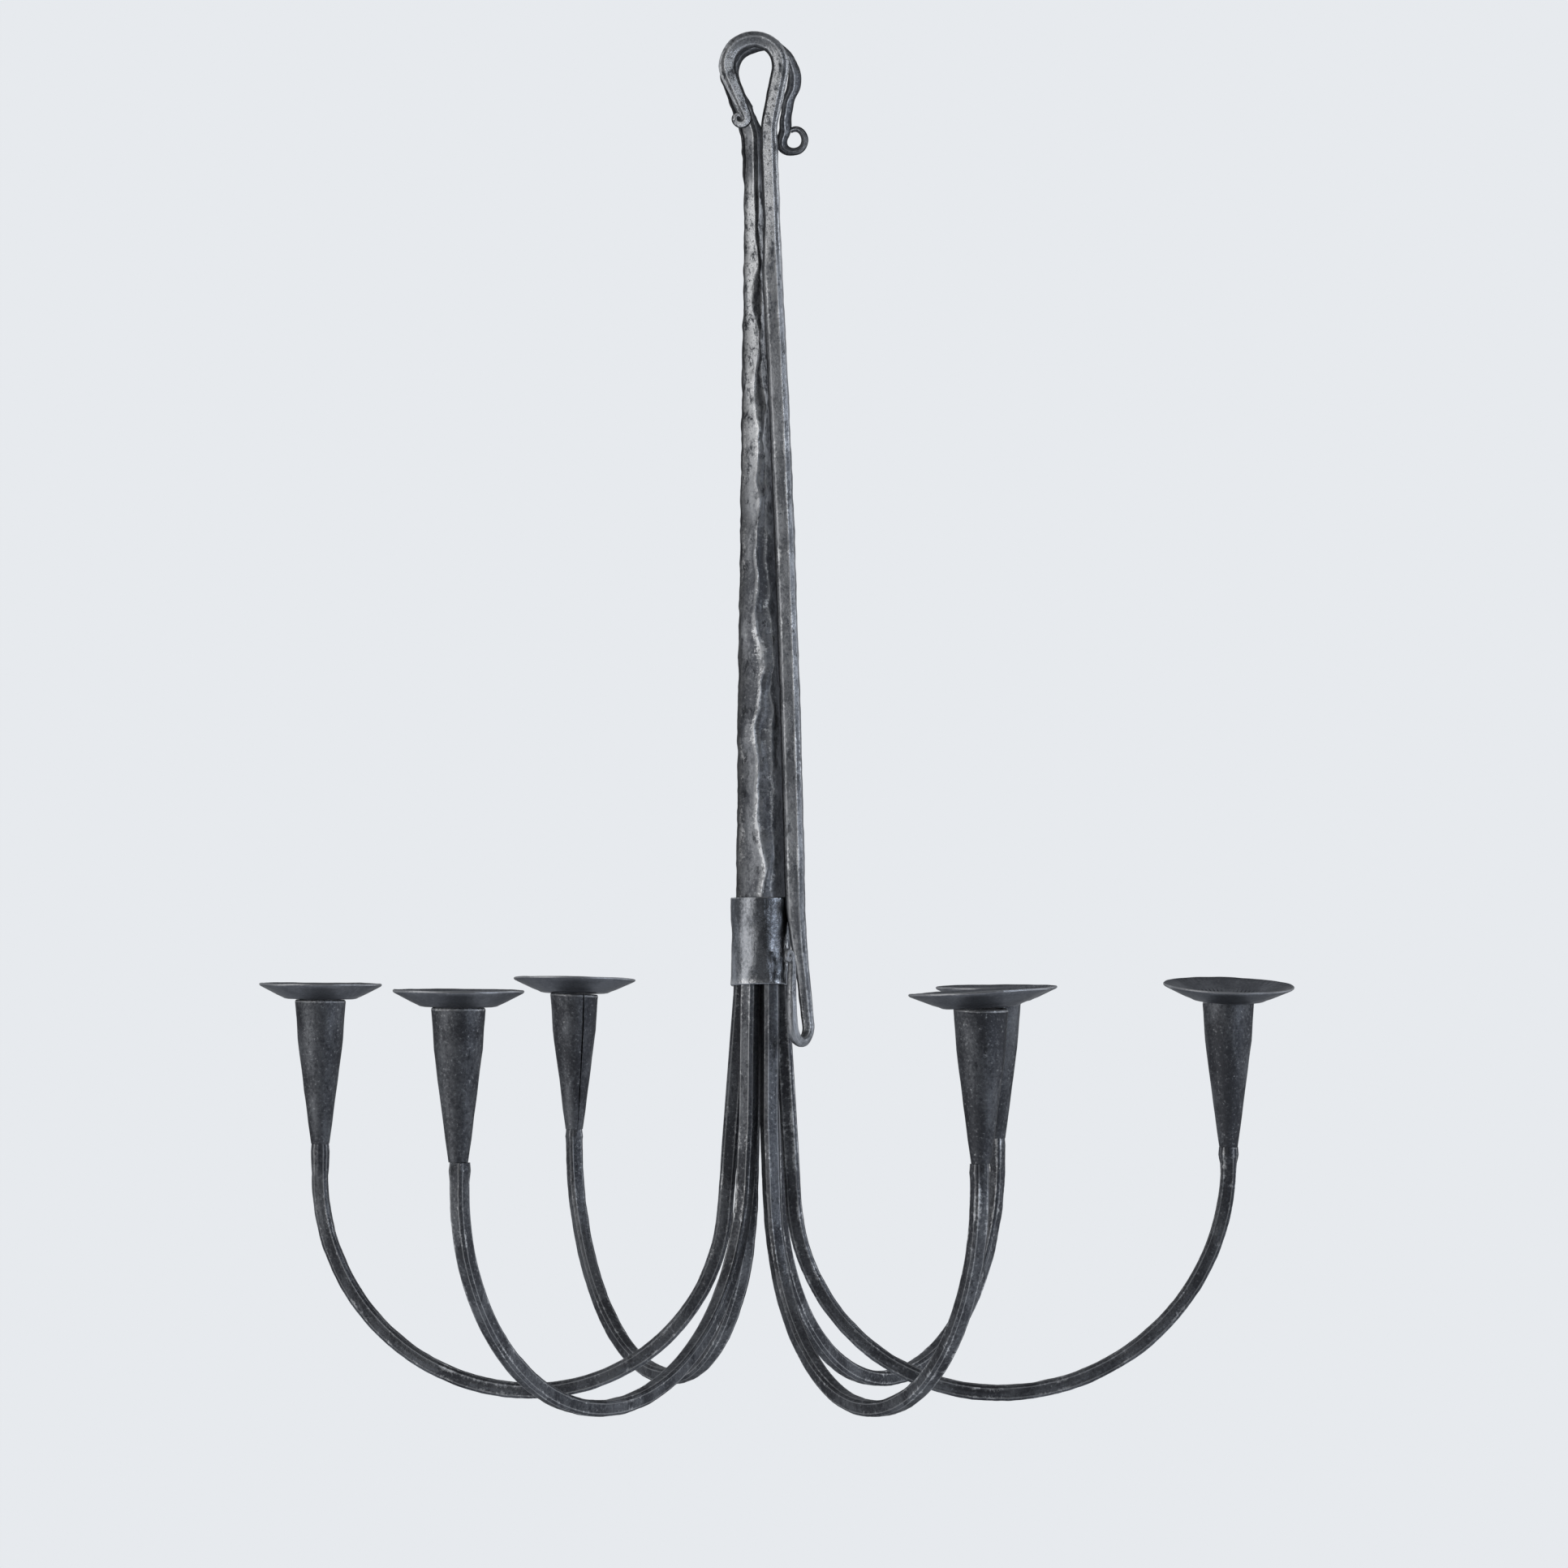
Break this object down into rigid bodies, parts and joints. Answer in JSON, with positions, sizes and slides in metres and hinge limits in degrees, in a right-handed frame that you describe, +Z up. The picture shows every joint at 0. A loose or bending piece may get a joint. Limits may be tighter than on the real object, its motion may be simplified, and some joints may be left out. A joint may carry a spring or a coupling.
{
  "type": "wrought iron chandelier",
  "caption": "Forged iron candle chandelier: a tapered hooked stem, bent arms bound under a collar, conical sockets with loose drip pans, and a hooked rod to lengthen the drop.",
  "frame": {"origin": "inside top of the stem's hook, where the chandelier hangs on the ceiling hook", "axes": "+Z up along the stem, +X to the viewer's right across the pictured front, -Y towards the viewer"},
  "size_m": [0.5296, 0.4935, 0.7001],
  "materials": {
    "forged_iron": "hammered bare iron, worn bright on the edges",
    "burnished_iron": "burnished dark",
    "blackened_iron": "blackened, worn bright on the edges",
    "pan_iron": "matte grey, fine grain"
  },
  "bodies": {
    "frame": {"stem": "forged_iron", "collar": "burnished_iron", "arm_1": "blackened_iron", "arm_2": "blackened_iron", "arm_3": "blackened_iron", "arm_4": "blackened_iron", "arm_5": "blackened_iron", "arm_6": "blackened_iron", "candle_socket_1": "blackened_iron", "candle_socket_2": "blackened_iron", "candle_socket_3": "blackened_iron", "candle_socket_4": "blackened_iron", "candle_socket_5": "blackened_iron", "candle_socket_6": "blackened_iron"},
    "hanger": {"hanger_rod": "forged_iron"},
    "pan_1": {"drip_pan_1": "pan_iron"},
    "pan_2": {"drip_pan_2": "pan_iron"},
    "pan_3": {"drip_pan_3": "pan_iron"},
    "pan_4": {"drip_pan_4": "pan_iron"},
    "pan_5": {"drip_pan_5": "pan_iron"},
    "pan_6": {"drip_pan_6": "pan_iron"}
  },
  "joints": [
    {"name": "rod_swing", "type": "hinge", "parent": "frame", "child": "hanger", "pos_m": [-0.0038, -0.0083, -0.00965], "axis": [0, -1, 0], "range_deg": [0, 45]},
    {"name": "pan_1_lift", "type": "slide", "parent": "frame", "child": "pan_1", "axis": [0, 0, 1], "range_m": [0, 0.03]},
    {"name": "pan_2_lift", "type": "slide", "parent": "frame", "child": "pan_2", "axis": [0, 0, 1], "range_m": [0, 0.03]},
    {"name": "pan_3_lift", "type": "slide", "parent": "frame", "child": "pan_3", "axis": [0, 0, 1], "range_m": [0, 0.03]},
    {"name": "pan_4_lift", "type": "slide", "parent": "frame", "child": "pan_4", "axis": [0, 0, 1], "range_m": [0, 0.03]},
    {"name": "pan_5_lift", "type": "slide", "parent": "frame", "child": "pan_5", "axis": [0, 0, 1], "range_m": [0, 0.03]},
    {"name": "pan_6_lift", "type": "slide", "parent": "frame", "child": "pan_6", "axis": [0, 0, 1], "range_m": [0, 0.03]}
  ]
}
